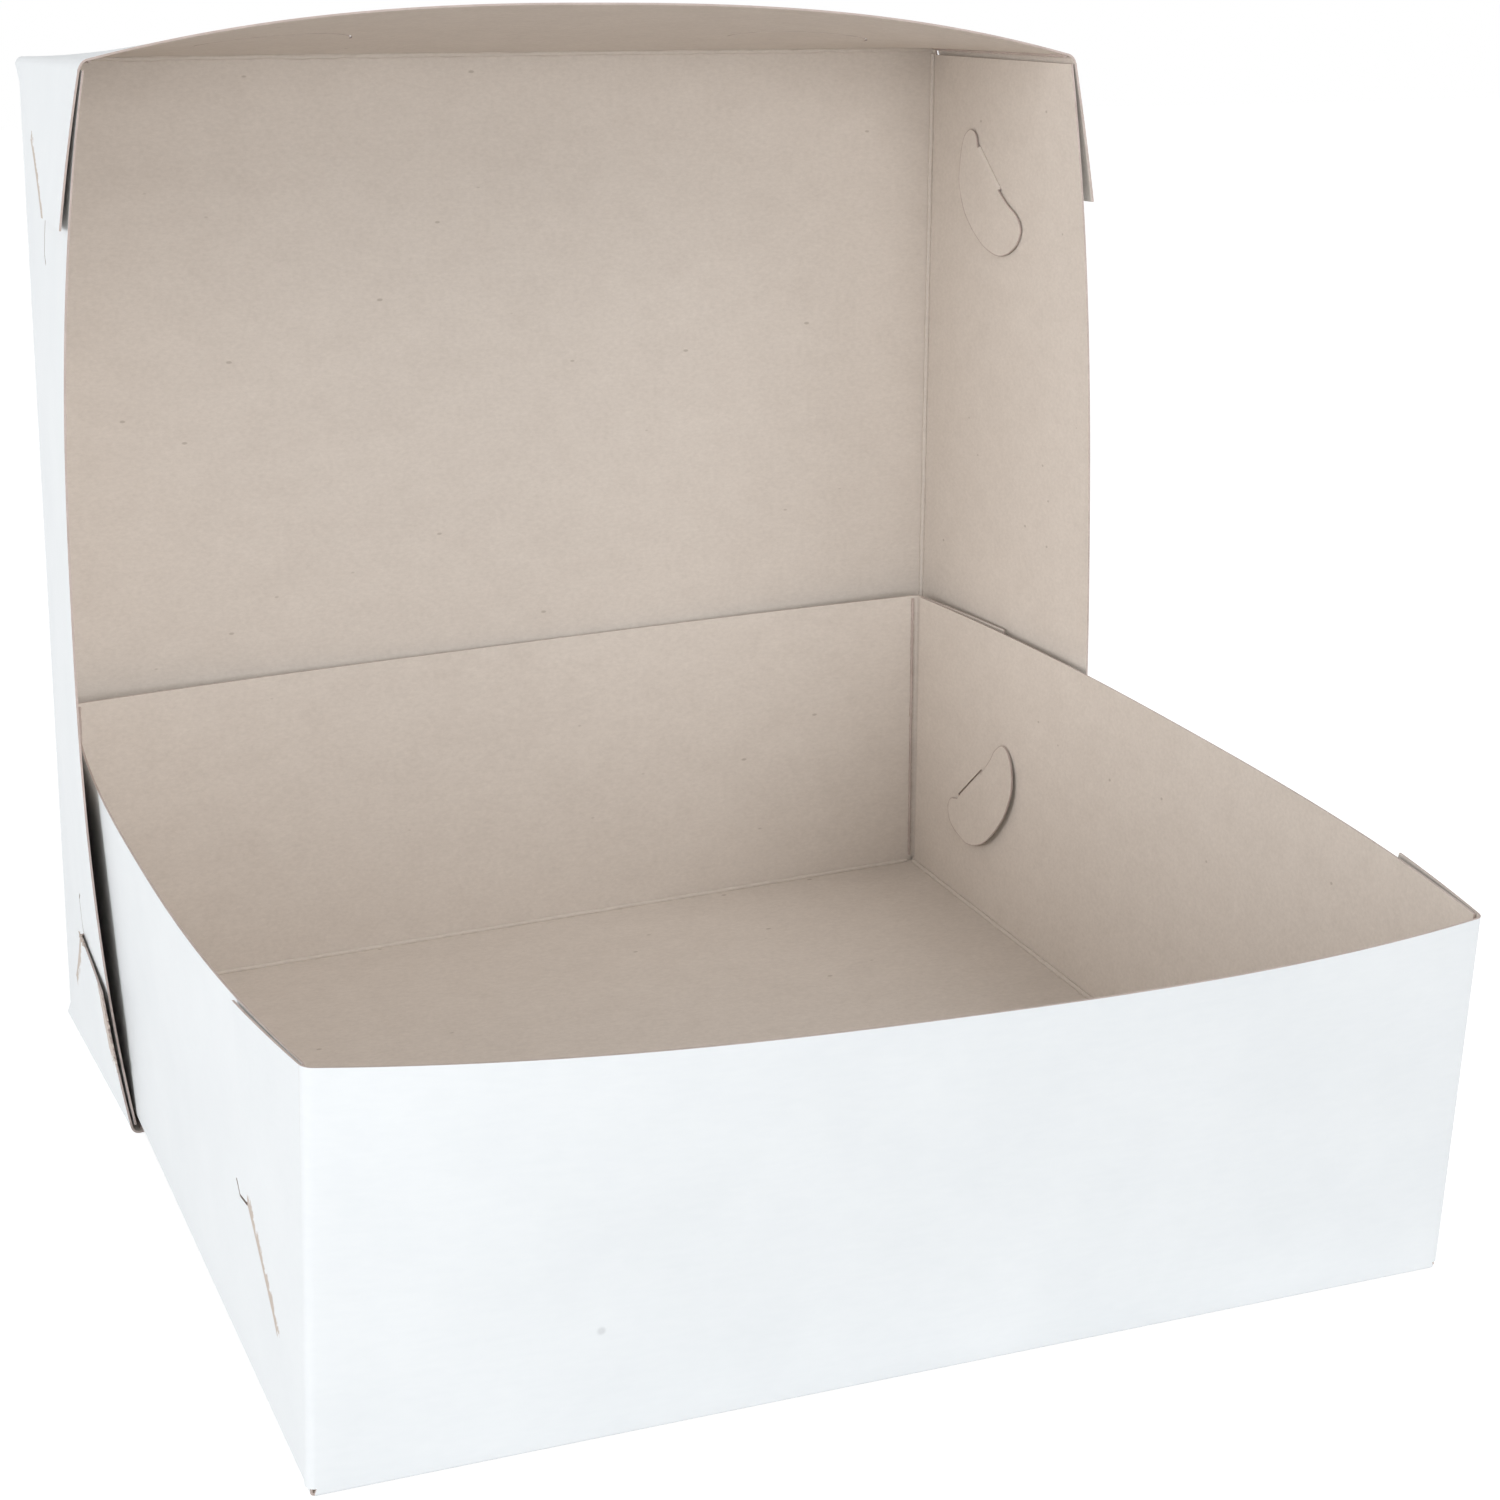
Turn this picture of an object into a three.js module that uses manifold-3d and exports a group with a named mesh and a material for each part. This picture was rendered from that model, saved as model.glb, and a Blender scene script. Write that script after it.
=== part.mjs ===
// Two-piece pastry box of folded white card, standing open.
// The base tray lies in front. The lid tray stands on one long wall behind it,
// and that wall reaches under the rear of the base tray and carries it.
// Units are millimetres, with +X to the right, +Y to the back and +Z up.
import * as THREE from 'three';
import { mergeVertices } from 'three/addons/utils/BufferGeometryUtils.js';
import Module from 'manifold-3d';

const wasm = await Module();
wasm.setup();

// Card and clearances; a sheet that joins another starts a tuck inside its face
const board = 0.6;
const seat = 0.3;
const tuck = 0.05;

// Base tray: a nominal 12 x 12 x 4 inch box
const baseSide = 305;
const trayHeight = 101.6;

// Lid tray: larger all round, so that it drops over the base
const lidSideRoom = 3.75;
const lidLongRoom = 2;
const lidWidth = baseSide + 2 * lidSideRoom;
const lidDepth = baseSide + 2 * lidLongRoom;
const lidLeftPlay = 3.8;
const lidPanelPlay = 4.1;

// Corner lock: tab along the side wall, and a tongue that hooks through a slanted slot.
// Each point is [distance from the corner, height above the tray's floor].
const tabLength = 45;
const reliefHeight = 3;
const reliefWidth = 2.4;
const rootLow = [27, 31];
const rootHigh = [tabLength, 50];
const slotTail = [[50, 48.2], [56, 47.6], [58.5, 51]];
const tailWidth = 0.6;
const tongueOutline = [
  [29.5, 27.5], [36, 24.2], [45, 23.6], [55, 28], [63.5, 38], [67, 48],
  [66, 55.5], [62, 61.5], [57, 63.8], [53, 61], [49.8, 55.4],
];
const standoffStart = 0.55;
const standoffPower = 1.5;
const tongueReach = 30;
const tongueSheet = { start: 20, end: 72, bottom: 18, top: 70 };

// Gap between a side wall's end and the long wall beside it
const endGap = 2.2;

// Half-moon slits in the lid's long walls
const slitCentre = [70, 40];
const slitRadii = [24, 18];
const slitWidth = 0.7;

// Mesh steps along and up the bowed walls, over the small bent pieces and round the slits
const wallSteps = 20;
const heightSteps = 4;
const tabSteps = 4;
const slitSteps = 12;

// Cutting shapes run this far past the card
const reach = 5;

// How each tray has bent and leaned. Bows are outward at the middle of each free edge.
// Corners give how far the top of each corner has moved from straight above its foot.
const baseTray = {
  width: baseSide,
  depth: baseSide,
  play: seat,
  floorSteps: 6,
  tongueCurl: 2.6,
  tabStandoff: { frontLeft: 1, frontRight: 1.6, backRight: 2, backLeft: 1 },
  slits: false,
  bow: { front: 15, back: 8, left: 9, right: 13 },
  corners: { frontLeft: [3, 3], frontRight: [-3, -11], backRight: [-4, -6], backLeft: [1, -8] },
  rearLift: { left: 7, right: 17 },
};
const lidTray = {
  width: lidWidth,
  depth: lidDepth,
  play: 2 * seat,
  floorSteps: 1,
  tongueCurl: 0.6,
  tabStandoff: { frontLeft: 0.6, frontRight: 2.4, backRight: 2.4, backLeft: 1.2 },
  slits: true,
  bow: { front: -6.5, back: 15.5, left: 11, right: 8.5 },
  corners: { frontLeft: [3, 0], frontRight: [5, 0], backRight: [-5, -1], backLeft: [3, 1] },
  rearLift: { left: 0, right: 0 },
};
const bowPower = 2.5;
const bowDrop = 0.12;
const weldDistance = 1e-5;

// White coated card; the render's surfaces are finer
const cardMaterial = (name) => new THREE.MeshStandardMaterial({
  name, color: 0xe9edee, roughness: 0.55, metalness: 0,
});

// 0 at both ends of a wall and 1 at its middle
function arch(share) {
  return 1 - Math.abs(2 * share - 1) ** bowPower;
}

function mix(low, high, share) {
  return low + (high - low) * share;
}

// Moves a point of the straight-sided tray to where the bent card holds it
function settlePoint(point, tray) {
  const across = point.x / tray.width;
  const along = point.y / tray.depth;
  const up = point.z / trayHeight;
  const { bow, corners, rearLift } = tray;
  const cornerShift = (axis) => mix(
    mix(corners.frontLeft[axis], corners.frontRight[axis], across),
    mix(corners.backLeft[axis], corners.backRight[axis], across),
    along,
  );
  const sideArch = arch(THREE.MathUtils.clamp(along, 0, 1));
  const longArch = arch(THREE.MathUtils.clamp(across, 0, 1));
  const sideDrop = sideArch * mix(Math.abs(bow.left), Math.abs(bow.right), across);
  const longDrop = longArch * mix(Math.abs(bow.front), Math.abs(bow.back), along);
  return new THREE.Vector3(
    point.x + up * (cornerShift(0) + sideArch * mix(-bow.left, bow.right, across)),
    point.y + up * (cornerShift(1) + longArch * mix(-bow.front, bow.back, along)),
    point.z + along * mix(rearLift.left, rearLift.right, across) - up * bowDrop * (sideDrop + longDrop),
  );
}

function movePoints(geometry, move) {
  const position = geometry.attributes.position;
  const point = new THREE.Vector3();
  for (let i = 0; i < position.count; i += 1) {
    point.fromBufferAttribute(position, i);
    const moved = move(point);
    position.setXYZ(i, moved.x, moved.y, moved.z);
  }
  return geometry;
}

// A box between two opposite corners, with a given number of steps each way. Opposite faces are
// split along the same diagonals, so that a thin sheet keeps its thickness when it is bent.
function block(low, high, steps) {
  const size = high.map((value, axis) => value - low[axis]);
  const centre = high.map((value, axis) => (value + low[axis]) / 2);
  const geometry = new THREE.BoxGeometry(...size, ...steps);
  const index = geometry.index.array;
  for (const { start, count } of geometry.groups.filter((group, side) => side % 2 === 0)) {
    for (let i = start; i < start + count; i += 6) {
      const [a, b, d, , c] = index.slice(i, i + 6);
      index.set([a, b, c, a, c, d], i);
    }
  }
  return geometry.translate(...centre);
}

// An outline drawn in the side wall's plane, [y, z], run through it along X
function prismAcross(outline, low, high) {
  const shape = new THREE.Shape(outline.map(([y, z]) => new THREE.Vector2(y, z)));
  const geometry = new THREE.ExtrudeGeometry(shape, { depth: high - low, bevelEnabled: false });
  const turn = new THREE.Matrix4().makeBasis(
    new THREE.Vector3(0, 1, 0),
    new THREE.Vector3(0, 0, 1),
    new THREE.Vector3(1, 0, 0),
  );
  return geometry.applyMatrix4(turn).translate(low, 0, 0);
}

// An outline drawn in the long wall's plane, [x, z], run through it along Y
function prismAlong(outline, low, high) {
  const shape = new THREE.Shape(outline.map(([x, z]) => new THREE.Vector2(x, z)));
  const geometry = new THREE.ExtrudeGeometry(shape, { depth: high - low, bevelEnabled: false });
  return geometry.rotateX(Math.PI / 2).translate(0, high, 0);
}

// The outline of a band of even width along a line of points
function ribbon(line, width) {
  const half = width / 2;
  const sideOf = (index) => {
    const from = line[Math.max(index - 1, 0)];
    const to = line[Math.min(index + 1, line.length - 1)];
    const length = Math.hypot(to[0] - from[0], to[1] - from[1]);
    return [(to[1] - from[1]) / length, (from[0] - to[0]) / length];
  };
  const offset = (sign) => line.map((point, index) => {
    const side = sideOf(index);
    return [point[0] + sign * half * side[0], point[1] + sign * half * side[1]];
  });
  return [...offset(-1), ...offset(1).reverse()];
}

// A closed geometry as a solid, mirrored to one of the tray's four corners first if asked
function toSolid(geometry, tray, flipX = false, flipY = false) {
  geometry.deleteAttribute('normal');
  geometry.deleteAttribute('uv');
  const merged = mergeVertices(geometry, weldDistance);
  movePoints(merged, (point) => new THREE.Vector3(
    flipX ? tray.width - point.x : point.x,
    flipY ? tray.depth - point.y : point.y,
    point.z,
  ));
  const triangles = Uint32Array.from(merged.index.array);
  if (flipX !== flipY) {
    for (let i = 0; i < triangles.length; i += 3) {
      [triangles[i], triangles[i + 1]] = [triangles[i + 1], triangles[i]];
    }
  }
  movePoints(merged, (point) => settlePoint(point, tray));
  return new wasm.Manifold(new wasm.Mesh({
    numProp: 3,
    vertProperties: Float32Array.from(merged.attributes.position.array),
    triVerts: triangles,
  }));
}

const rootSpan = [rootHigh[0] - rootLow[0], rootHigh[1] - rootLow[1]];
const rootLength = Math.hypot(...rootSpan);
const tongueWay = [rootSpan[1] / rootLength, -rootSpan[0] / rootLength];
const stepOff = (point, distance) => [
  point[0] + tongueWay[0] * distance,
  point[1] + tongueWay[1] * distance,
];

// The tab that carries on from a long wall, round the corner and along outside the side wall
function tabSolid(tray, flipX, flipY) {
  const sheet = block([tuck, board / 2, 0], [board, tabLength, trayHeight], [1, tabSteps, tabSteps]);
  const standoff = tray.tabStandoff[(flipY ? 'back' : 'front') + (flipX ? 'Right' : 'Left')];
  movePoints(sheet, (point) => {
    const rise = Math.max(0, (point.z / trayHeight - standoffStart) / (1 - standoffStart));
    point.x -= standoff * (point.y / tabLength) * rise ** standoffPower;
    return point;
  });
  const outline = [
    [-reach, reliefHeight - reach], [0, reliefHeight],
    stepOff(rootLow, board / 2), stepOff(rootHigh, board / 2),
    [tabLength + reach, rootHigh[1]], [tabLength + reach, trayHeight + reach],
    [-reach, trayHeight + reach],
  ];
  const keep = prismAcross(outline, -reach, reach);
  return toSolid(sheet, tray, flipX, flipY).intersect(toSolid(keep, tray, flipX, flipY));
}

// The rounded tongue that lies against the inside of the side wall, curling off it at its tip
function tongueSolid(tray, flipX, flipY) {
  const inside = tray.play + 2 * board + seat;
  const low = [inside, tongueSheet.start, tongueSheet.bottom];
  const high = [inside + board, tongueSheet.end, tongueSheet.top];
  const sheet = block(low, high, [1, tabSteps, tabSteps]);
  movePoints(sheet, (point) => {
    const out = (point.y - rootLow[0]) * tongueWay[0] + (point.z - rootLow[1]) * tongueWay[1];
    point.x += tray.tongueCurl * Math.max(0, out / tongueReach);
    return point;
  });
  const curve = new THREE.SplineCurve(
    [stepOff(rootLow, -board / 2), ...tongueOutline, stepOff(rootHigh, -board / 2)]
      .map(([y, z]) => new THREE.Vector2(y, z)),
  );
  const outline = curve.getPoints(2 * tongueOutline.length).map((point) => [point.x, point.y]);
  const keep = prismAcross(outline, inside - reach, inside + 2 * reach);
  return toSolid(sheet, tray, flipX, flipY).intersect(toSolid(keep, tray, flipX, flipY));
}

// The short strip of card that passes through the slot and joins the tab to the tongue
function webSolid(tray, flipX, flipY) {
  const inner = tray.play + 3 * board + seat;
  return toSolid(prismAcross(ribbon([rootLow, rootHigh], board), 0, inner), tray, flipX, flipY);
}

// The slanted slot, with a thin tail that let the tongue's hook in
function slotSolids(tray, flipX, flipY) {
  const low = tray.play / 2;
  const high = tray.play + 3 * board;
  const along = [rootSpan[0] / rootLength, rootSpan[1] / rootLength];
  const ends = [rootLow, rootHigh].map((point, index) => point.map(
    (value, axis) => value + (2 * index - 1) * 2 * seat * along[axis],
  ));
  const slot = prismAcross(ribbon(ends, board + 2 * seat), low, high);
  const tail = prismAcross(ribbon([rootHigh, ...slotTail], tailWidth), low, high);
  return [toSolid(slot, tray, flipX, flipY), toSolid(tail, tray, flipX, flipY)];
}

// A half-moon slit through a long wall
function slitSolid(tray, flipX, flipY) {
  const line = [];
  for (let i = 0; i <= slitSteps; i += 1) {
    const angle = Math.PI * (1 - i / slitSteps);
    line.push([
      slitCentre[0] + slitRadii[0] * Math.cos(angle),
      slitCentre[1] + slitRadii[1] * Math.sin(angle),
    ]);
  }
  return toSolid(prismAlong(ribbon(line, slitWidth), -board, 2 * board), tray, flipX, flipY);
}

// The open triangle at the foot of each corner, where the folds meet
function reliefSolid(tray, flipX, flipY) {
  const outline = [[-reach, -reach], [reliefWidth, -reach], [reliefWidth, 0], [0, reliefHeight],
    [-reach, reliefHeight]];
  return toSolid(prismAlong(outline, -reach, 2 * board), tray, flipX, flipY);
}

const cornersOf = [[false, false], [true, false], [true, true], [false, true]];

function floorSolid(tray) {
  const inset = tray.play + board;
  const low = [inset + tuck, tuck, 0];
  const high = [tray.width - inset - tuck, tray.depth - tuck, board];
  return toSolid(block(low, high, [tray.floorSteps, tray.floorSteps, 1]), tray);
}

function longWallSolid(tray, flipY) {
  const sheet = block([0, 0, 0], [tray.width, board, trayHeight], [wallSteps, 1, heightSteps]);
  let wall = toSolid(sheet, tray, false, flipY);
  for (const flipX of [false, true]) {
    wall = wall.subtract(reliefSolid(tray, flipX, flipY));
    if (tray.slits) {
      wall = wall.subtract(slitSolid(tray, flipX, flipY));
    }
  }
  return wall;
}

function sideWallSolid(tray, flipX) {
  const outer = tray.play + board;
  const end = board + endGap;
  const low = [outer, end, 0];
  const high = [outer + board, tray.depth - end, trayHeight];
  let wall = toSolid(block(low, high, [1, wallSteps, heightSteps]), tray, flipX, false);
  for (const flipY of [false, true]) {
    for (const slot of slotSolids(tray, flipX, flipY)) {
      wall = wall.subtract(slot);
    }
  }
  return wall;
}

// One folded sheet: floor, four walls, and a locked tab at each corner
function traySolid(tray) {
  let card = floorSolid(tray);
  for (const far of [false, true]) {
    card = card.add(longWallSolid(tray, far)).add(sideWallSolid(tray, far));
  }
  for (const [flipX, flipY] of cornersOf) {
    for (const piece of [tabSolid, webSolid, tongueSolid]) {
      card = card.add(piece(tray, flipX, flipY));
    }
  }
  return card;
}

function toMesh(solid, name) {
  const { vertProperties, triVerts } = solid.getMesh();
  const geometry = new THREE.BufferGeometry();
  geometry.setAttribute('position', new THREE.BufferAttribute(vertProperties, 3));
  geometry.setIndex(new THREE.BufferAttribute(triVerts, 1));
  geometry.computeVertexNormals();
  const mesh = new THREE.Mesh(geometry, cardMaterial(name));
  mesh.name = name;
  return mesh;
}

const base = toMesh(traySolid(baseTray), 'base_tray');

// The lid tray, built lying down, is turned up on its front wall behind the base
const lid = toMesh(traySolid(lidTray), 'lid_tray');
lid.rotation.x = Math.PI / 2;
lid.position.set(-lidLeftPlay, baseSide + lidPanelPlay, 0);

// The origin is on the table, under the middle of the whole
const box = new THREE.Group();
box.add(base, lid);
box.updateMatrixWorld(true);
const bounds = new THREE.Box3().setFromObject(box, true);
const centre = bounds.getCenter(new THREE.Vector3());
box.position.set(-centre.x, -centre.y, -bounds.min.z);

export default box;
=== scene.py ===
import math
import random

import bpy
import bmesh
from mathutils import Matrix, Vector
from mathutils.geometry import delaunay_2d_cdt


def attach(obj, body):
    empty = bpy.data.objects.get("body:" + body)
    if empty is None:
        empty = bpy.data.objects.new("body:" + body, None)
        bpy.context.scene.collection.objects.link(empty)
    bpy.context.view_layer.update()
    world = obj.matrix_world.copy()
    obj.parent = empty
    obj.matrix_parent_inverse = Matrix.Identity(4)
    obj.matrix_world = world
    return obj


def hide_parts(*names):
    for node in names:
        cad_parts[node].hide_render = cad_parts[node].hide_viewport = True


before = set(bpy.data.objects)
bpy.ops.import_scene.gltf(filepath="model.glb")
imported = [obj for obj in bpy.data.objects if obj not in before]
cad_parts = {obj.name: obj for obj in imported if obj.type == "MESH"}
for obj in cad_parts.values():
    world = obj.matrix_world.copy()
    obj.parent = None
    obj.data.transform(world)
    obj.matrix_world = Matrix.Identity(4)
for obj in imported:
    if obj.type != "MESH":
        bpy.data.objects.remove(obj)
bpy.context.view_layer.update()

# Sizes of the folded card, in millimetres, as in the model
MM = 0.001
BOARD = 0.6
SEAT = 0.3
BASE_SIDE = 305
HEIGHT = 101.6
LID_SIDE_ROOM = 3.75
LID_LONG_ROOM = 2
LID_WIDTH = BASE_SIDE + 2 * LID_SIDE_ROOM
LID_DEPTH = BASE_SIDE + 2 * LID_LONG_ROOM
LID_LEFT_PLAY = 3.8
LID_PANEL_PLAY = 4.1
BOW_POWER = 2.5
BOW_DROP = 0.12

# Radius of the folds, radius of the corners, and where a side wall stops before a long wall
FOLD = BOARD + SEAT
CORNER_FOLD = 2.2
WALL_END = 2.8

# Where the frame holds the near left corner of the straight-sided base
BASE_CORNER = Vector((-154.526, -144.370, 0))

# Corner lock, each point as [distance from the corner, height above the tray's floor]
TAB_LENGTH = 45
RELIEF = 2
ROOT_LOW = Vector((27, 31))
ROOT_HIGH = Vector((TAB_LENGTH, 50))
SHOULDER = ROOT_LOW.lerp(ROOT_HIGH, 0.28)
SLOT_TAIL = [Vector(p) for p in ((50, 48.2), (56, 47.6), (58.5, 51))]
TONGUE = [
    (28.2, 34.6), (26.6, 31.4), (28.2, 27.6), (32, 25.2), (38, 23.9), (45, 23.6), (55, 28), (63.5, 38),
    (67, 48), (66, 55.5), (62, 61.5), (57, 63.8), (53, 61), (49.8, 55.4),
]
TONGUE_REACH = 30
SLOT_SHIFT = -0.15
STANDOFF_START = 0.55
STANDOFF_POWER = 1.5

# Half-moon slits in the lid's long walls
SLIT_CENTRE = (70, 40)
SLIT_RADII = (24, 18)
SLIT_WIDTH = 0.7

# Grid spacings of the card's surfaces, and the steps along its smaller edges
WALL_STEP = 6
TAB_STEP = 3
FOLD_STEPS = 6
ROOT_STEPS = 6
TAB_FOOT_STEPS = 10
TAB_SIDE_STEPS = 14
RIM_STEPS = 4
SLIT_STEPS = 24
BEAD_STEPS = 90
FIBRE_STEPS = 46

# Grid points keep off edges by these shares of a spacing; slivers below this area are dropped
EDGE_CLEARANCE = 0.4
HOLE_CLEARANCE = 0.3
SLIVER = 1e-3
WELD = 1e-3
FILL_TOLERANCE = 1e-5
FILL_INSIDE = 1
SHARP_ANGLE = 38

# How each tray has bent and leaned. Bows are outward at the middle of each free edge. Corners give how
# far each corner's top has moved, and standoff how far each tab stands off its wall.

BASE = {
    "width": BASE_SIDE, "depth": BASE_SIDE, "play": SEAT, "curl": 2.6, "slot": 2.1, "slits": False,
    "standoff": {"front_left": 0.4, "front_right": 1.6, "back_right": 2.0, "back_left": 1.0},
    "bow": {"front": 15, "back": 8, "left": 9, "right": 13},
    "corners": {
        "front_left": (3, 3), "front_right": (-3, -11), "back_right": (-4, -6), "back_left": (1, -8),
    },
    "lift": (7, 17),
}
LID = {
    "width": LID_WIDTH, "depth": LID_DEPTH, "play": 2 * SEAT, "curl": 0.6, "slot": 0.5, "slits": True,
    "standoff": {"front_left": 0.6, "front_right": 2.4, "back_right": 2.4, "back_left": 1.2},
    "bow": {"front": -6.5, "back": 15.5, "left": 11, "right": 8.5},
    "corners": {"front_left": (3, 0), "front_right": (5, 0), "back_right": (-5, -1), "back_left": (3, 1)},
    "lift": (0, 0),
}


def mix(low, high, share):
    return low + (high - low) * share


def arch(share):
    """0 at both ends of a wall and 1 at its middle."""
    return 1 - abs(2 * min(max(share, 0), 1) - 1) ** BOW_POWER


def settle(point, tray):
    """Where the bent card holds a point of the straight-sided tray."""
    across, along, up = point.x / tray["width"], point.y / tray["depth"], point.z / HEIGHT
    bow, corners = tray["bow"], tray["corners"]
    shift = [mix(mix(corners["front_left"][i], corners["front_right"][i], across),
                 mix(corners["back_left"][i], corners["back_right"][i], across), along) for i in (0, 1)]
    side, long = arch(along), arch(across)
    drop = side * mix(abs(bow["left"]), abs(bow["right"]), across)
    drop += long * mix(abs(bow["front"]), abs(bow["back"]), along)
    return Vector((
        point.x + up * (shift[0] + side * mix(-bow["left"], bow["right"], across)),
        point.y + up * (shift[1] + long * mix(-bow["front"], bow["back"], along)),
        point.z + along * mix(tray["lift"][0], tray["lift"][1], across) - up * BOW_DROP * drop))


def place_base(point):
    return (settle(point, BASE) + BASE_CORNER) * MM


def place_lid(point):
    bent = settle(point, LID)
    stood = Vector((bent.x - LID_LEFT_PLAY, BASE_SIDE + LID_PANEL_PLAY - bent.z, bent.y))
    return (stood + BASE_CORNER) * MM


def between(start, end, steps):
    """Evenly spaced points from start to end, both included."""
    start, end = Vector(start), Vector(end)
    return [start.lerp(end, i / steps) for i in range(steps + 1)]


def chain(*runs):
    """Runs of points joined end to end, without repeating the shared ends."""
    points = []
    for run in runs:
        points += [Vector(p) for p in run][:-1]
    return points


def ribbon(line, width):
    """The outline of a band of even width along a line of points."""
    sides = []
    for i in range(len(line)):
        way = (Vector(line[min(i + 1, len(line) - 1)]) - Vector(line[max(i - 1, 0)])).normalized()
        sides.append(Vector((way.y, -way.x)) * width / 2)
    left = [Vector(p) - s for p, s in zip(line, sides)]
    right = [Vector(p) + s for p, s in zip(line, sides)]
    return left + right[::-1]


def inside(point, outline):
    """Whether a point lies inside a closed outline."""
    hit = False
    for a, b in zip(outline, outline[1:] + outline[:1]):
        if (a.y > point.y) != (b.y > point.y):
            if point.x < a.x + (point.y - a.y) * (b.x - a.x) / (b.y - a.y):
                hit = not hit
    return hit


def near(point, outline, gap):
    """Whether a point is within a gap of an outline's edges."""
    for a, b in zip(outline, outline[1:] + outline[:1]):
        span = b - a
        share = min(max((point - a).dot(span) / max(span.length_squared, 1e-12), 0), 1)
        if (a + span * share - point).length < gap:
            return True
    return False


class Sheet:
    """The outer surface of one folded card, collected panel by panel in the straight-sided tray."""

    def __init__(self, tray):
        self.tray = tray
        self.mesh = bmesh.new()

    def point(self, spot, flip_x, flip_y):
        x = self.tray["width"] - spot[0] if flip_x else spot[0]
        y = self.tray["depth"] - spot[1] if flip_y else spot[1]
        return self.mesh.verts.new((x, y, spot[2]))

    def faces(self, spots, faces, flip_x=False, flip_y=False, turned=False):
        verts = [self.point(spot, flip_x, flip_y) for spot in spots]
        reverse = turned != (flip_x != flip_y)
        for face in faces:
            loop = [verts[i] for i in face]
            self.mesh.faces.new(loop[::-1] if reverse else loop)

    def strip(self, rows, **how):
        """A run of quads between neighbouring rows of points."""
        count = len(rows[0])
        spots = [p for row in rows for p in row]
        quads = []
        for r in range(len(rows) - 1):
            for i in range(count - 1):
                a = r * count + i
                quads.append((a, a + 1, a + count + 1, a + count))
        self.faces(spots, quads, **how)

    def panel(self, outline, to_space, step, holes=(), **how):
        """A flat region with holes, filled with an even grid of points and lifted into place."""
        low = Vector((min(p.x for p in outline), min(p.y for p in outline)))
        high = Vector((max(p.x for p in outline), max(p.y for p in outline)))
        points = list(outline)
        edges = [(i, (i + 1) % len(outline)) for i in range(len(outline))]
        for hole in holes:
            first = len(points)
            points += hole
            edges += [(first + i, first + (i + 1) % len(hole)) for i in range(len(hole))]
        columns = max(2, round((high.x - low.x) / step))
        rows = max(2, round((high.y - low.y) / step))
        for i in range(1, columns):
            for j in range(1, rows):
                spot = Vector((mix(low.x, high.x, i / columns), mix(low.y, high.y, j / rows)))
                if not inside(spot, outline) or near(spot, outline, step * EDGE_CLEARANCE):
                    continue
                if any(inside(spot, hole) or near(spot, hole, step * HOLE_CLEARANCE) for hole in holes):
                    continue
                points.append(spot)
        verts, _, faces, *_ = delaunay_2d_cdt(points, edges, [], FILL_INSIDE, FILL_TOLERANCE)
        kept = []
        for face in faces:
            a, b, c = (verts[i] for i in face)
            if abs((b - a).cross(c - a)) < SLIVER:
                continue
            middle = (a + b + c) / 3
            if inside(middle, outline) and not any(inside(middle, hole) for hole in holes):
                kept.append(face)
        self.faces([to_space(v) for v in verts], kept, **how)


def fold_rows(radius=FOLD):
    """Offsets round a quarter fold: from one face, through the arc, to the next face."""
    turns = [math.pi / 2 * i / FOLD_STEPS for i in range(FOLD_STEPS + 1)]
    return [(radius * (1 - math.sin(a)), radius * (1 - math.cos(a))) for a in turns]


def tongue_way():
    """The way that a tongue points, square to its root."""
    span = (ROOT_HIGH - ROOT_LOW).normalized()
    return Vector((span.y, -span.x))


def tab_shift(spot, standoff):
    """The tab stands off the wall towards its free corner."""
    rise = max(0, (spot.y / HEIGHT - STANDOFF_START) / (1 - STANDOFF_START))
    return -standoff * (spot.x / TAB_LENGTH) * rise ** STANDOFF_POWER


def tongue_shift(spot, tray):
    """The tongue curls off the wall towards its tip."""
    return tray["curl"] * max(0, (spot - ROOT_LOW).dot(tongue_way()) / TONGUE_REACH)


def spline(points, steps):
    """A smooth open curve through the points."""
    ends = [2 * Vector(points[0]) - Vector(points[1])] + [Vector(p) for p in points]
    ends.append(2 * Vector(points[-1]) - Vector(points[-2]))
    curve = []
    for i in range(1, len(ends) - 2):
        a, b, c, d = ends[i - 1:i + 3]
        for k in range(steps):
            t = k / steps
            curve.append(0.5 * (2 * b + (c - a) * t + (2 * a - 5 * b + 4 * c - d) * t * t
                                + (3 * b - a - 3 * c + d) * t ** 3))
    curve.append(ends[-2])
    return curve


def side_wall_holes(tray):
    """The slots at both ends of a side wall, with their thin tails."""
    span = (ROOT_HIGH - ROOT_LOW).normalized() * SEAT
    shift = tongue_way() * SLOT_SHIFT
    slot = ribbon([SHOULDER + span + shift, ROOT_HIGH + span + shift], tray["slot"])
    cut = ribbon([ROOT_LOW, SHOULDER + 3 * span], SEAT)
    near_end = [slot, cut, ribbon([ROOT_HIGH, *SLOT_TAIL], BOARD + SEAT)]
    far_end = [[Vector((tray["depth"] - p.x, p.y)) for p in hole][::-1] for hole in near_end]
    return near_end + far_end


def long_wall_holes(tray):
    """The half-moon slits at both ends of a long wall."""
    if not tray["slits"]:
        return []
    line = []
    for i in range(SLIT_STEPS + 1):
        angle = math.pi * (1 - i / SLIT_STEPS)
        line.append(Vector((SLIT_CENTRE[0] + SLIT_RADII[0] * math.cos(angle),
                            SLIT_CENTRE[1] + SLIT_RADII[1] * math.sin(angle))))
    left = ribbon(line, SLIT_WIDTH)
    return [left, [Vector((tray["width"] - p.x, p.y)) for p in left][::-1]]


def corner_name(flip_x, flip_y):
    """Which corner of the tray the near left one is mirrored to."""
    return ("back" if flip_y else "front") + ("_right" if flip_x else "_left")


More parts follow.
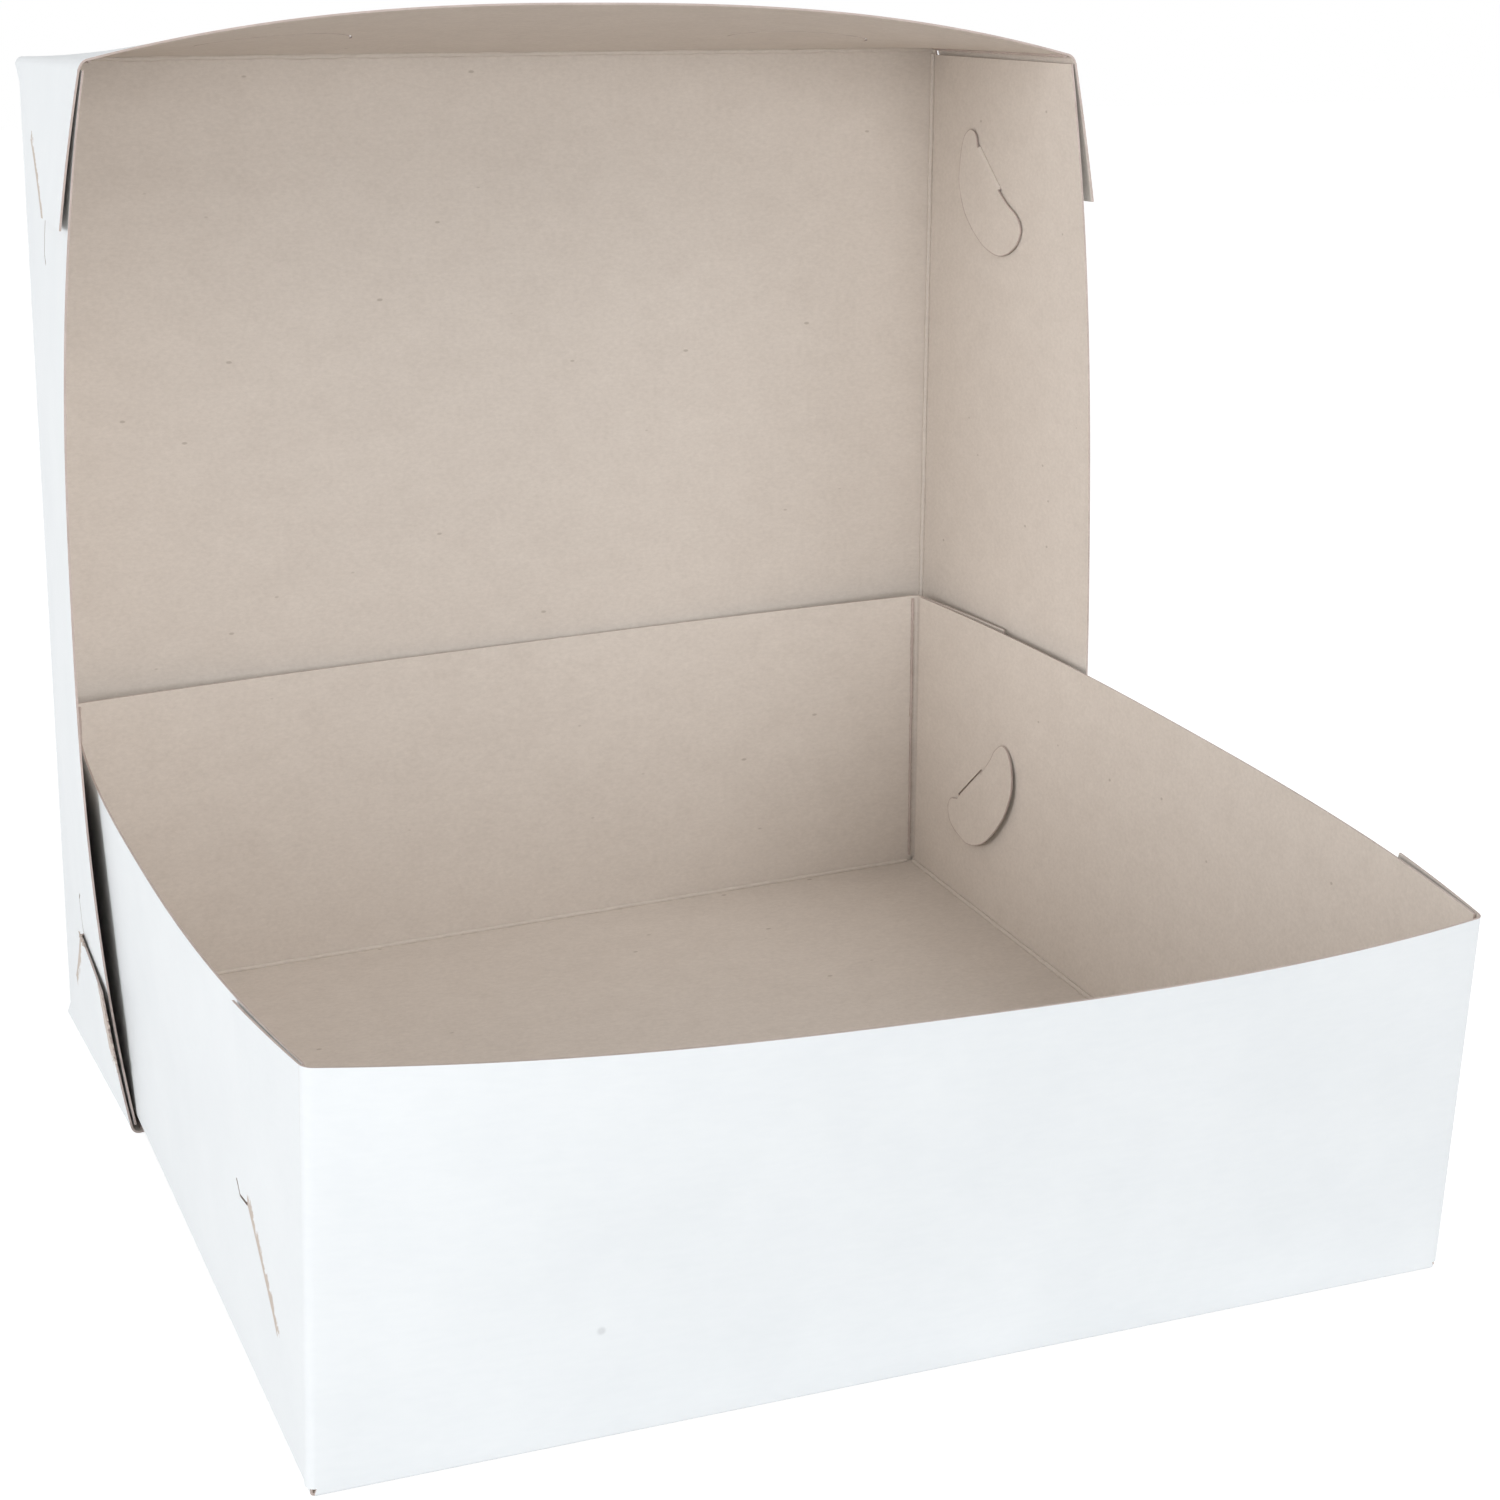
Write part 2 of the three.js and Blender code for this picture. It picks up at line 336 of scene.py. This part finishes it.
def fold_card(tray):
    """One folded sheet: floor, walls, folds, corner tabs and the tongues through the slots."""
    sheet = Sheet(tray)
    width, depth = tray["width"], tray["depth"]
    inset = tray["play"] + BOARD
    left, right = inset + FOLD, width - inset - FOLD
    across = round((right - left) / WALL_STEP)
    along = round((depth - 2 * FOLD) / WALL_STEP)
    up = round((HEIGHT - RELIEF) / WALL_STEP)

    floor = chain(
        between((left, FOLD), (right, FOLD), across), between((right, FOLD), (right, depth - FOLD), along),
        between((right, depth - FOLD), (left, depth - FOLD), across),
        between((left, depth - FOLD), (left, FOLD), along))
    sheet.panel(floor, lambda p: (p.x, p.y, 0), WALL_STEP, turned=True)

    long_wall = chain(
        between((left, FOLD), (right, FOLD), across),
        between((right, FOLD), (width - CORNER_FOLD, RELIEF), 1),
        between((width - CORNER_FOLD, RELIEF), (width - CORNER_FOLD, HEIGHT), up),
        between((width - CORNER_FOLD, HEIGHT), (CORNER_FOLD, HEIGHT), across),
        between((CORNER_FOLD, HEIGHT), (CORNER_FOLD, RELIEF), up),
        between((CORNER_FOLD, RELIEF), (left, FOLD), 1))
    side_wall = chain(
        between((FOLD, FOLD), (depth - FOLD, FOLD), along),
        between((depth - FOLD, FOLD), (depth - FOLD, 2 * FOLD), 1),
        between((depth - FOLD, 2 * FOLD), (depth - WALL_END, 3 * FOLD), 1),
        between((depth - WALL_END, 3 * FOLD), (depth - WALL_END, HEIGHT), up),
        between((depth - WALL_END, HEIGHT), (WALL_END, HEIGHT), along),
        between((WALL_END, HEIGHT), (WALL_END, 3 * FOLD), up),
        between((WALL_END, 3 * FOLD), (FOLD, 2 * FOLD), 1),
        between((FOLD, 2 * FOLD), (FOLD, FOLD), 1))
    for far in (False, True):
        sheet.panel(long_wall, lambda p: (p.x, 0, p.y), WALL_STEP, long_wall_holes(tray), flip_y=far)
        sheet.panel(side_wall, lambda p: (inset, p.x, p.y), WALL_STEP, side_wall_holes(tray),
                    flip_x=far, turned=True)
        floor_line = between((left, 0), (right, 0), across)
        sheet.strip([[(p.x, out, rise) for p in floor_line] for out, rise in fold_rows()],
                    flip_y=far, turned=True)
        side_line = between((FOLD, 0), (depth - FOLD, 0), along)
        sheet.strip([[(inset + out, p.x, rise) for p in side_line] for out, rise in fold_rows()], flip_x=far)
    for flip_x in (False, True):
        for flip_y in (False, True):
            corner_lock(sheet, up, flip_x, flip_y)
    bmesh.ops.remove_doubles(sheet.mesh, verts=sheet.mesh.verts, dist=WELD)
    bmesh.ops.recalc_face_normals(sheet.mesh, faces=sheet.mesh.faces)
    middle = Vector((width / 2, depth / 2, 0))
    under = min(sheet.mesh.faces, key=lambda f: (f.calc_center_median() - middle).length)
    if under.normal.z > 0:
        bmesh.ops.reverse_faces(sheet.mesh, faces=sheet.mesh.faces)
    return sheet.mesh


def corner_lock(sheet, up, flip_x, flip_y):
    """The fold round one corner, its tab, and the tongue that passes through the slot."""
    tray = sheet.tray
    how = {"flip_x": flip_x, "flip_y": flip_y}
    standoff = tray["standoff"][corner_name(flip_x, flip_y)]
    inner = tray["play"] + 2 * BOARD + SEAT
    way = tongue_way()
    heights = [p.y for p in between((0, RELIEF), (0, HEIGHT), up)]
    rows = [[(out, deep, z) for z in heights] for out, deep in fold_rows(CORNER_FOLD)]
    sheet.strip(rows, turned=True, **how)

    root = between(SHOULDER, ROOT_HIGH, ROOT_STEPS)
    tab = chain(
        between((CORNER_FOLD, RELIEF), ROOT_LOW, TAB_FOOT_STEPS),
        between(ROOT_LOW, SHOULDER, 2),
        root,
        between(ROOT_HIGH, (TAB_LENGTH, HEIGHT), TAB_SIDE_STEPS),
        between((TAB_LENGTH, HEIGHT), (CORNER_FOLD, HEIGHT), TAB_SIDE_STEPS),
        between((CORNER_FOLD, HEIGHT), (CORNER_FOLD, RELIEF), up))
    sheet.panel(tab, lambda p: (tab_shift(p, standoff), p.x, p.y), TAB_STEP, turned=True, **how)

    passing = [(0, 0), (SEAT, SEAT), (inner - SEAT, SEAT), (inner, 2 * SEAT)]
    sheet.strip([[(deep, *(p + way * off)) for p in root] for deep, off in passing], turned=False, **how)

    start = [p + way * 2 * SEAT for p in root]
    rim = spline([start[0], *TONGUE, start[-1]], RIM_STEPS)
    tongue = start[::-1][:-1] + rim[:-1]
    lifted = tongue_shift(start[0], tray)
    sheet.panel(tongue, lambda p: (inner + tongue_shift(p, tray) - lifted, p.x, p.y), TAB_STEP,
                turned=True, **how)


def socket(node, name, value):
    node.inputs[name].default_value = value


class Shader:
    """A small helper that adds nodes to one material and links them."""

    def __init__(self, name):
        self.material = bpy.data.materials.new(name)
        self.material.use_nodes = True
        self.tree = self.material.node_tree
        self.surface = self.tree.nodes["Principled BSDF"]

    def add(self, kind, **inputs):
        node = self.tree.nodes.new(kind)
        for name, value in inputs.items():
            key = name.replace("_", " ")
            if isinstance(value, bpy.types.NodeSocket):
                self.tree.links.new(value, node.inputs[key])
            else:
                node.inputs[key].default_value = value
        return node

    def link(self, output, target):
        self.tree.links.new(output, target)

    def grain(self, stretch, scale, detail=4.0, roughness=0.6):
        """Noise in the object's own space, stretched along the card's grain."""
        place = self.add("ShaderNodeTexCoord")
        mapping = self.add("ShaderNodeMapping", Vector=place.outputs["Object"], Scale=stretch)
        return self.add("ShaderNodeTexNoise", Vector=mapping.outputs["Vector"], Scale=scale, Detail=detail,
                        Roughness=roughness).outputs["Fac"]

    def ramp(self, value, stops):
        node = self.add("ShaderNodeValToRGB", Fac=value)
        for i, (spot, colour) in enumerate(stops):
            stop = node.color_ramp.elements[i] if i < 2 else node.color_ramp.elements.new(spot)
            stop.position = spot
            stop.color = (*colour, 1)
        return node.outputs["Color"]

    def blend(self, share, first, second, kind="MIX"):
        node = self.tree.nodes.new("ShaderNodeMix")
        node.data_type = "RGBA"
        node.blend_type = kind
        for index, value in ((0, share), (6, first), (7, second)):
            if isinstance(value, bpy.types.NodeSocket):
                self.tree.links.new(value, node.inputs[index])
            else:
                node.inputs[index].default_value = value
        return node.outputs[2]

    def fleck(self, spot, inner, outer):
        """1 at one spot of the surface, falling to 0 around it."""
        place = self.add("ShaderNodeTexCoord")
        gap = self.tree.nodes.new("ShaderNodeVectorMath")
        gap.operation = "DISTANCE"
        self.link(place.outputs["Object"], gap.inputs[0])
        gap.inputs[1].default_value = spot
        return self.add("ShaderNodeMapRange", Value=gap.outputs["Value"], From_Min=inner, From_Max=outer,
                        To_Min=0.7, To_Max=0.0).outputs["Result"]

    def bump(self, height, strength, distance):
        node = self.add("ShaderNodeBump", Height=height, Strength=strength, Distance=distance)
        self.link(node.outputs["Normal"], self.surface.inputs["Normal"])


# Colours of the coating, of the bare board and of its edges, as low and high ends of each mottle
WHITE_LOW = (0.771, 0.800, 0.820)
WHITE_HIGH = (0.805, 0.832, 0.850)
STREAK = (0.985, 0.987, 0.989)
KRAFT_LOW = (0.697, 0.634, 0.576)
KRAFT_HIGH = (0.741, 0.678, 0.618)
FLECK = (0.36, 0.30, 0.25)
PALE_FIBRE = (0.72, 0.66, 0.60)
EDGE_LOW = (0.47, 0.39, 0.355)
EDGE_HIGH = (0.60, 0.51, 0.475)
TORN = (0.50, 0.42, 0.365)
SPECK_GREY = (0.60, 0.62, 0.64)

# The small speck on the front wall, as a point of the straight-sided base, and its radii in metres
SPECK = tuple((settle(Vector((68.5, 0, 30)), BASE) + BASE_CORNER) * MM)
SPECK_INNER = 0.0006
SPECK_OUTER = 0.0013

# A torn edge is ragged by noise of this strength, and turns from coating to board between two levels
RAG_STRENGTH = 1.5
RAG_START = 1.32
RAG_END = 1.42

# Dark and pale fibres in the board: how dense, how large and of what colour
FIBRE_KINDS = ((70, 0.030, FLECK), (95, 0.034, PALE_FIBRE))

# How noise is stretched along each axis: not at all, or along the card's grain
EVEN = (1, 1, 1)
GRAIN_ALONG = (0.35, 1.0, 1.6)


def coated_card():
    """Clay-coated white face: faintly mottled, fine streaks along the grain, and a soft sheen."""
    shader = Shader("white_coating")
    mottle = shader.grain(EVEN, scale=26, detail=5)
    streak = shader.grain(GRAIN_ALONG, scale=420, detail=3)
    colour = shader.ramp(mottle, [(0.32, WHITE_LOW), (0.70, WHITE_HIGH)])
    lines = shader.ramp(streak, [(0.35, STREAK), (0.65, (1, 1, 1))])
    colour = shader.blend(1.0, colour, lines, "MULTIPLY")
    # Bare board shows where the torn attribute is high: torn and cracked coating, and painted shade of the
    # slots' gaps beside them
    torn = shader.add("ShaderNodeAttribute")
    torn.attribute_name = "torn"
    rag = shader.grain(EVEN, scale=330, detail=6, roughness=0.75)
    ragged = shader.add("ShaderNodeMath")
    ragged.operation = "MULTIPLY_ADD"
    shader.link(rag, ragged.inputs[0])
    ragged.inputs[1].default_value = RAG_STRENGTH
    shader.link(torn.outputs["Fac"], ragged.inputs[2])
    edge = shader.add("ShaderNodeMapRange", Value=ragged.outputs[0])
    socket(edge, "From Min", RAG_START)
    socket(edge, "From Max", RAG_END)
    colour = shader.blend(edge.outputs["Result"], colour, (*TORN, 1))
    colour = shader.blend(shader.fleck(SPECK, SPECK_INNER, SPECK_OUTER), colour, (*SPECK_GREY, 1))
    shader.link(colour, shader.surface.inputs["Base Color"])
    sheen = shader.add("ShaderNodeMapRange", Value=streak)
    socket(sheen, "To Min", 0.40)
    socket(sheen, "To Max", 0.52)
    shader.link(sheen.outputs["Result"], shader.surface.inputs["Roughness"])
    socket(shader.surface, "Specular IOR Level", 0.42)
    shader.bump(streak, strength=0.05, distance=0.00012)
    return shader.material


def bare_board(name, low, high, flecked=True):
    """Grey-brown recycled board: fibre speckle, soft clouds, and a few dark and pale fibres."""
    shader = Shader(name)
    clouds = shader.grain((0.8, 1, 1.2), scale=90, detail=5, roughness=0.7)
    fibre = shader.grain((0.7, 1, 1.3), scale=700, detail=4, roughness=0.7)
    colour = shader.ramp(clouds, [(0.30, low), (0.72, high)])
    speckle = shader.ramp(fibre, [(0.30, (0.93, 0.925, 0.92)), (0.70, (1.03, 1.03, 1.03))])
    colour = shader.blend(1.0, colour, speckle, "MULTIPLY")
    if flecked:
        place = shader.add("ShaderNodeTexCoord")
        for scale, radius, tint in FIBRE_KINDS:
            stretch = shader.add("ShaderNodeMapping", Vector=place.outputs["Object"], Scale=(0.6, 1, 1.3))
            cells = shader.add("ShaderNodeTexVoronoi", Vector=stretch.outputs["Vector"], Scale=scale)
            spot = shader.add("ShaderNodeMapRange", Value=cells.outputs["Distance"])
            socket(spot, "From Min", radius)
            socket(spot, "From Max", radius * 1.6)
            socket(spot, "To Min", 0.5)
            socket(spot, "To Max", 0.0)
            colour = shader.blend(spot.outputs["Result"], colour, (*tint, 1))
    shader.link(colour, shader.surface.inputs["Base Color"])
    socket(shader.surface, "Roughness", 0.86)
    socket(shader.surface, "Specular IOR Level", 0.22)
    shader.bump(fibre, strength=0.22, distance=0.00018)
    return shader.material


# The torn end of the lid's lower left tab, from where it starts to where the coating has all gone
TORN_SKIN = 0.8
TORN_ALONG = (14, 26)
TORN_UP = (86, 95)

# The cracked fold beside each slot, partly real cracked coating and partly painted shade of the slot's gap:
# past the root's ends, and its reach to each side
CRACK_SHADE_BELOW = 3
CRACK_SHADE_ABOVE = 4
CRACK_SHADE_REACH = 7


def torn_amount(nominal):
    """1 where the end of the lid's lower left tab has lost its coating, falling off around it."""
    if nominal.x > TORN_SKIN or nominal.y > TAB_LENGTH + BOARD:
        return 0.0
    along = (nominal.y - TORN_ALONG[0]) / (TORN_ALONG[1] - TORN_ALONG[0])
    up = (nominal.z - TORN_UP[0]) / (TORN_UP[1] - TORN_UP[0])
    return max(0.0, min(1.0, along, up))


def crack_and_shade_amount(nominal, tray):
    """1 along the fold beside each slot, where the coating has cracked and where the shade of the slot's gap
    is painted, falling off around it.
    """
    spot = Vector((min(nominal.y, tray["depth"] - nominal.y), nominal.z))
    deep = min(nominal.x, tray["width"] - nominal.x)
    on_wall = deep > tray["play"] + BOARD / 2
    if on_wall or not ROOT_LOW.y - CRACK_SHADE_BELOW < spot.y < ROOT_HIGH.y + CRACK_SHADE_ABOVE:
        return 0.0
    off = abs((spot - ROOT_LOW).dot(tongue_way()))
    return max(0.0, 1 - off / CRACK_SHADE_REACH)


def make_tray(name, node, tray, place, materials):
    """The folded sheet given its thickness, standing for the plain solid."""
    flat = fold_card(tray)
    mesh = bpy.data.meshes.new(name)
    nominal = [v.co.copy() for v in flat.verts]
    for v in flat.verts:
        v.co = place(v.co)
    flat.to_mesh(mesh)
    flat.free()
    # The torn attribute holds the torn tab end and the cracked folds beside the slots, with painted shade of
    # the slots' gaps along those folds
    torn = mesh.attributes.new("torn", "FLOAT", "POINT")
    for i, spot in enumerate(nominal):
        torn.data[i].value = max(crack_and_shade_amount(spot, tray), torn_amount(spot) if tray is LID else 0.0)
    for material in materials:
        mesh.materials.append(material)
    sheet = bpy.data.objects.new(name + "_flat", mesh)
    bpy.context.scene.collection.objects.link(sheet)
    card = sheet.modifiers.new("card", "SOLIDIFY")
    card.thickness = BOARD * MM
    card.offset = -1
    card.material_offset = 1
    card.material_offset_rim = 2
    depsgraph = bpy.context.evaluated_depsgraph_get()
    solid = bpy.data.meshes.new_from_object(sheet.evaluated_get(depsgraph))
    bpy.data.objects.remove(sheet)
    solid.polygons.foreach_set("use_smooth", [True] * len(solid.polygons))
    solid.set_sharp_from_angle(angle=math.radians(SHARP_ANGLE))
    piece = bpy.data.objects.new(name, solid)
    bpy.context.scene.collection.objects.link(piece)
    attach(piece, "root")
    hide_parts(node)


# Fibres: the shortest as a share of the longest, how many are short, their thickness and their lean
SHORTEST_FIBRE = 0.15
FIBRE_LEAN = (-0.25, 0.1)
FIBRE_POWER = 1.6
FIBRE_THICKNESS = 0.25


def torn_fibres(name, ends, outward, reach, place, material, seed):
    """A ragged fringe of board fibres along a torn edge."""
    chance = random.Random(seed)
    mesh = bmesh.new()
    rows = []
    for foot in between(*ends, FIBRE_STEPS):
        tooth = outward * reach * chance.uniform(SHORTEST_FIBRE, 1) ** FIBRE_POWER
        lean = Vector((chance.uniform(*FIBRE_LEAN), 0, 0))
        fibre = (foot, foot + tooth * 0.5 + lean, foot + tooth + 2 * lean)
        rows.append([mesh.verts.new(place(spot)) for spot in fibre])
    for row, after in zip(rows, rows[1:]):
        for i in (0, 1):
            mesh.faces.new((row[i], row[i + 1], after[i + 1], after[i]))
    fringe = bpy.data.meshes.new(name)
    mesh.to_mesh(fringe)
    mesh.free()
    fringe.materials.append(material)
    piece = bpy.data.objects.new(name, fringe)
    bpy.context.scene.collection.objects.link(piece)
    piece.modifiers.new("layer", "SOLIDIFY").thickness = FIBRE_THICKNESS * MM
    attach(piece, "root")


# Radii of the ridges that folds raise, of those up the corners, and of the painted shade lines round the
# tongues' cut edges, each with how uneven it is, and the hinge fold of the lid's panel, which is more
# crushed
FOLD_RADIUS = 0.85
FOLD_ROUGH = 0.07
CRUSHED_ROUGH = 0.16
CREASE_RADIUS = 0.5
CREASE_ROUGH = 0.08
RIM_SHADE_RADIUS = 0.2
RIM_SHADE_ROUGH = 0.05

# Middle of a fold's ridge off the card's inner face, and how far ridges stop from each end
RIDGE = 0.45
LONG_RIDGE_GAP = 2
SIDE_RIDGE_GAP = 2.5

# A corner's ridge: off the side wall's ridge, into the long wall, and clear of the floor and the top
CREASE_INSET = 0.9
CREASE_SUNK = 0.2
CREASE_FOOT = 3
CREASE_TOP = HEIGHT - 1

# How deep the painted shade line round a tongue's cut edge is sunk in its face
RIM_SHADE_SUNK = 0.1


def bead(name, way, place, radius, rough, material, seed):
    """The slightly crushed ridge that a fold raises on the inside of the card."""
    chance = random.Random(seed)
    curve = bpy.data.curves.new(name, "CURVE")
    curve.dimensions = "3D"
    curve.bevel_depth = radius * MM
    curve.bevel_resolution = 2
    curve.use_fill_caps = True
    line = curve.splines.new("POLY")
    line.points.add(len(way) - 1)
    for i, spot in enumerate(way):
        wobble = Vector([chance.uniform(-rough, rough) for _ in range(3)])
        line.points[i].co = (*place(spot + wobble), 1)
        line.points[i].radius = chance.uniform(1 - 2 * rough, 1 + rough)
    curve.materials.append(material)
    piece = bpy.data.objects.new(name, curve)
    bpy.context.scene.collection.objects.link(piece)
    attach(piece, "root")


def fold_beads(prefix, tray, place, material, crease):
    """Beads along the folds between the floor and the walls, and up the long walls beside each corner."""
    width, depth = tray["width"], tray["depth"]
    side = tray["play"] + 2 * BOARD + RIDGE
    long = rise = BOARD + RIDGE
    start, stop = side + LONG_RIDGE_GAP, width - side - LONG_RIDGE_GAP
    first, last = SIDE_RIDGE_GAP, depth - SIDE_RIDGE_GAP
    runs = {
        "front": ((start, long, rise), (stop, long, rise)),
        "back": ((start, depth - long, rise), (stop, depth - long, rise)),
        "left": ((side, first, rise), (side, last, rise)),
        "right": ((width - side, first, rise), (width - side, last, rise)),
    }
    for i, (name, ends) in enumerate(runs.items()):
        rough = CRUSHED_ROUGH if tray is LID and name == "back" else FOLD_ROUGH
        way = between(*ends, BEAD_STEPS)
        bead(f"{prefix}_bead_{name}", way, place, FOLD_RADIUS, rough, material, seed=11 + i)
    left, front = side + CREASE_INSET, long - CREASE_SUNK
    right, back = width - left, depth - front
    for i, (x, y) in enumerate(((left, front), (right, front), (right, back), (left, back))):
        way = between((x, y, CREASE_FOOT), (x, y, CREASE_TOP), BEAD_STEPS)
        name = f"{prefix}_bead_corner_{i + 1}"
        bead(name, way, place, CREASE_RADIUS, CREASE_ROUGH, crease, seed=31 + i)


def tongue_outline_shades(prefix, tray, place, material):
    """Painted shade round each tongue's cut edge, as a thin tube in the cut edge's colour; the tongue lies
    against the inside of its wall.
    """
    face = tray["play"] + 3 * BOARD + SEAT - RIM_SHADE_SUNK
    first, last = [root + tongue_way() * 2 * SEAT for root in (SHOULDER, ROOT_HIGH)]
    lifted = tongue_shift(first, tray)
    rim = spline([first, *TONGUE, last], RIM_STEPS)
    outline = [(face + tongue_shift(p, tray) - lifted, p.x, p.y) for p in rim]
    for flip_x in (False, True):
        for flip_y in (False, True):
            way = [Vector((tray["width"] - x if flip_x else x, tray["depth"] - y if flip_y else y, z))
                   for x, y, z in outline]
            name = f"{prefix}_tongue_outline_shade_{corner_name(flip_x, flip_y)}"
            bead(name, way, place, RIM_SHADE_RADIUS, RIM_SHADE_ROUGH, material, seed=61)


# Soft lamps: place in metres, width of the disk, and power
LAMPS = {
    "left": ((-2.3, -0.6, 0.5), 1.2, 28),
    "front": ((0.15, -2.48, 0.5), 1.2, 18),
    "right": ((1.2, -1.4, 1.7), 1.4, 16.5),
}
BOX_MIDDLE = Vector((0, 0, 0.12))
WORLD_LIGHT = 0.5

# The floor's grey, how far it reaches, and the glow that fades it to white on rays that show it
FLOOR_GREY = 0.75
FLOOR_REACH = 6
FLOOR_DROP = 0.0002
FLOOR_GLOW = 1.7
GLOW_SHARE = 0.5


def soft_light(name, spot, size, power):
    lamp = bpy.data.lights.new(name, "AREA")
    lamp.shape = "DISK"
    lamp.size = size
    lamp.energy = power
    holder = bpy.data.objects.new(name, lamp)
    holder.location = spot
    holder.rotation_euler = (BOX_MIDDLE - Vector(spot)).to_track_quat("-Z", "Y").to_euler()
    bpy.context.scene.collection.objects.link(holder)


def seen_rays(tree):
    """1 on rays that show the background: from the camera, in a reflection or through glass."""
    paths = tree.nodes.new("ShaderNodeLightPath")
    shown = paths.outputs["Is Camera Ray"]
    for kind in ("Is Glossy Ray", "Is Transmission Ray"):
        either = tree.nodes.new("ShaderNodeMath")
        either.operation = "MAXIMUM"
        tree.links.new(shown, either.inputs[0])
        tree.links.new(paths.outputs[kind], either.inputs[1])
        shown = either.outputs[0]
    return shown


def studio():
    """Even, high-key light from large soft sources."""
    for name, lamp in LAMPS.items():
        soft_light(name, *lamp)
    world = bpy.data.worlds.new("studio")
    bpy.context.scene.world = world
    world.use_nodes = True
    tree = world.node_tree
    seen = tree.nodes.new("ShaderNodeMix")
    tree.links.new(seen_rays(tree), seen.inputs[0])
    seen.inputs[2].default_value = WORLD_LIGHT
    seen.inputs[3].default_value = 1.0
    tree.links.new(seen.outputs[0], tree.nodes["Background"].inputs["Strength"])
    tree.nodes["Background"].inputs["Color"].default_value = (1, 1, 1, 1)


def floor():
    """A pale floor that keeps a soft shadow and fades into the white behind it."""
    mesh = bpy.data.meshes.new("floor")
    quarters = ((-1, -1), (1, -1), (1, 1), (-1, 1))
    corners = [(x * FLOOR_REACH, y * FLOOR_REACH, -FLOOR_DROP) for x, y in quarters]
    mesh.from_pydata(corners, [], [(0, 1, 2, 3)])
    shader = Shader("floor")
    socket(shader.surface, "Base Color", (FLOOR_GREY, FLOOR_GREY, FLOOR_GREY, 1))
    socket(shader.surface, "Roughness", 1)
    socket(shader.surface, "Specular IOR Level", 0)
    glow = shader.add("ShaderNodeEmission", Strength=FLOOR_GLOW)
    share = shader.add("ShaderNodeMath")
    share.operation = "MULTIPLY"
    shader.link(seen_rays(shader.tree), share.inputs[0])
    share.inputs[1].default_value = GLOW_SHARE
    both = shader.add("ShaderNodeMixShader")
    shader.link(share.outputs[0], both.inputs[0])
    shader.link(shader.surface.outputs[0], both.inputs[1])
    shader.link(glow.outputs[0], both.inputs[2])
    shader.link(both.outputs[0], shader.tree.nodes["Material Output"].inputs["Surface"])
    mesh.materials.append(shader.material)
    plane = bpy.data.objects.new("floor", mesh)
    bpy.context.scene.collection.objects.link(plane)


# The camera that took the photo, fitted to the box: metres, degrees, millimetres and shares of the frame
CAMERA_PLACE = (-0.2738, -0.6640, 0.3279)
CAMERA_TURN = (76.619, 0.162, -20.843)
CAMERA_LENS = 63.32
CAMERA_SHIFT = (0.079, -0.088)
CAMERA_SENSOR = 36


def camera():
    data = bpy.data.cameras.new("camera")
    data.lens = CAMERA_LENS
    data.sensor_width = CAMERA_SENSOR
    data.shift_x, data.shift_y = CAMERA_SHIFT
    holder = bpy.data.objects.new("camera", data)
    holder.location = CAMERA_PLACE
    holder.rotation_euler = [math.radians(a) for a in CAMERA_TURN]
    bpy.context.scene.collection.objects.link(holder)
    bpy.context.scene.camera = holder


board_inside = bare_board("grey_board", KRAFT_LOW, KRAFT_HIGH)
board_edge = bare_board("cut_edge", EDGE_LOW, EDGE_HIGH, flecked=False)
bead_card = bare_board("fold_bead", KRAFT_LOW, PALE_FIBRE, flecked=False)
layers = [coated_card(), board_inside, board_edge]
make_tray("base_card", "base_tray", BASE, place_base, layers)
make_tray("lid_card", "lid_tray", LID, place_lid, layers)
crease_card = bare_board("corner_crease", EDGE_LOW, EDGE_HIGH, flecked=False)
fold_beads("base", BASE, place_base, bead_card, crease_card)
fold_beads("lid", LID, place_lid, bead_card, crease_card)
# Painted shade lines round the tongues' outlines
tongue_outline_shades("base", BASE, place_base, board_edge)
tongue_outline_shades("lid", LID, place_lid, board_edge)

fibre_card = bare_board("torn_fibre", TORN, PALE_FIBRE, flecked=False)
torn_end = ((-0.3, 20, HEIGHT - 0.4), (-0.4, TAB_LENGTH - 0.5, HEIGHT - 0.4))
torn_notch = ((0.2, TAB_LENGTH - 0.2, 51), (0.1, TAB_LENGTH - 0.2, 61))
upward, along_tab = Vector((0, 0, 1)), Vector((0, 1, 0))
torn_fibres("lid_torn_edge", torn_end, upward, 3.2, place_lid, fibre_card, seed=51)
torn_fibres("lid_torn_notch", torn_notch, along_tab, 2, place_lid, fibre_card, seed=52)

studio()
floor()
camera()
bpy.context.scene.view_settings.view_transform = "Standard"
